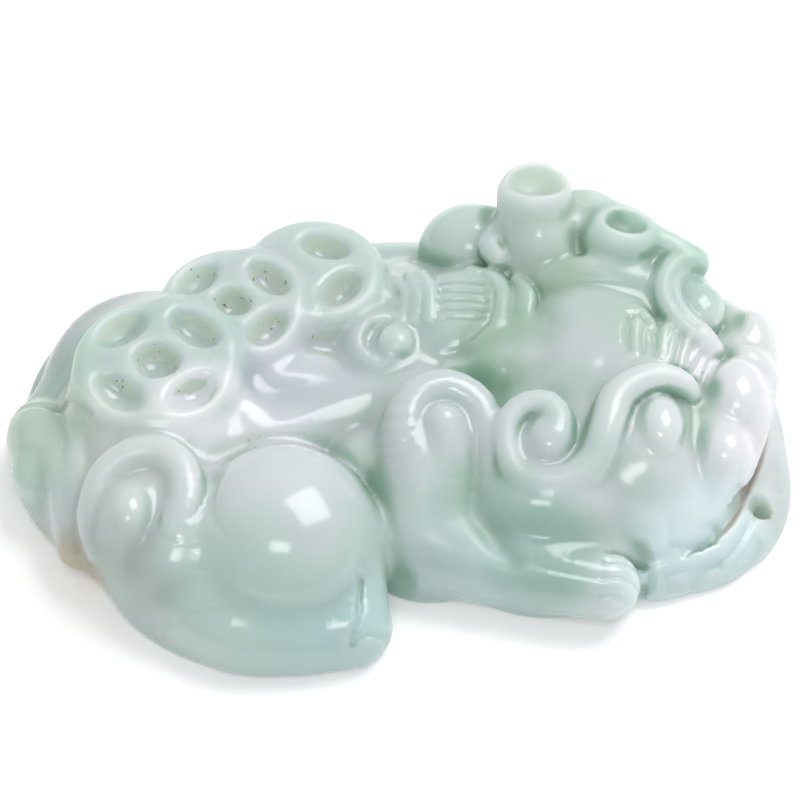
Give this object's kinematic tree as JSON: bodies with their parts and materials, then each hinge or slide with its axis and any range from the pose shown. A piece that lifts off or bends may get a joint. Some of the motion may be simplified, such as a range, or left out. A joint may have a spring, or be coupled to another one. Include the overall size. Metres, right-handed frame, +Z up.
{
  "type": "carved jade pendant",
  "caption": "Carved jade pendant in the form of a crouching winged beast with coins on its back, flat underneath, with a small cord hole through the lower jaw.",
  "frame": {"origin": "centre of the bounding box's bottom, on the flat back that the carving lies on", "axes": "+X from the tail to the nose, +Y from the feet to the mane, +Z up out of the flat back to the carved face"},
  "size_m": [0.0514, 0.0364, 0.0124],
  "materials": {
    "jade": "polished, translucent, cloudy white and pale green, with a brown edge at the tail"
  },
  "bodies": {
    "root": {"pendant": "jade"}
  },
  "joints": []
}
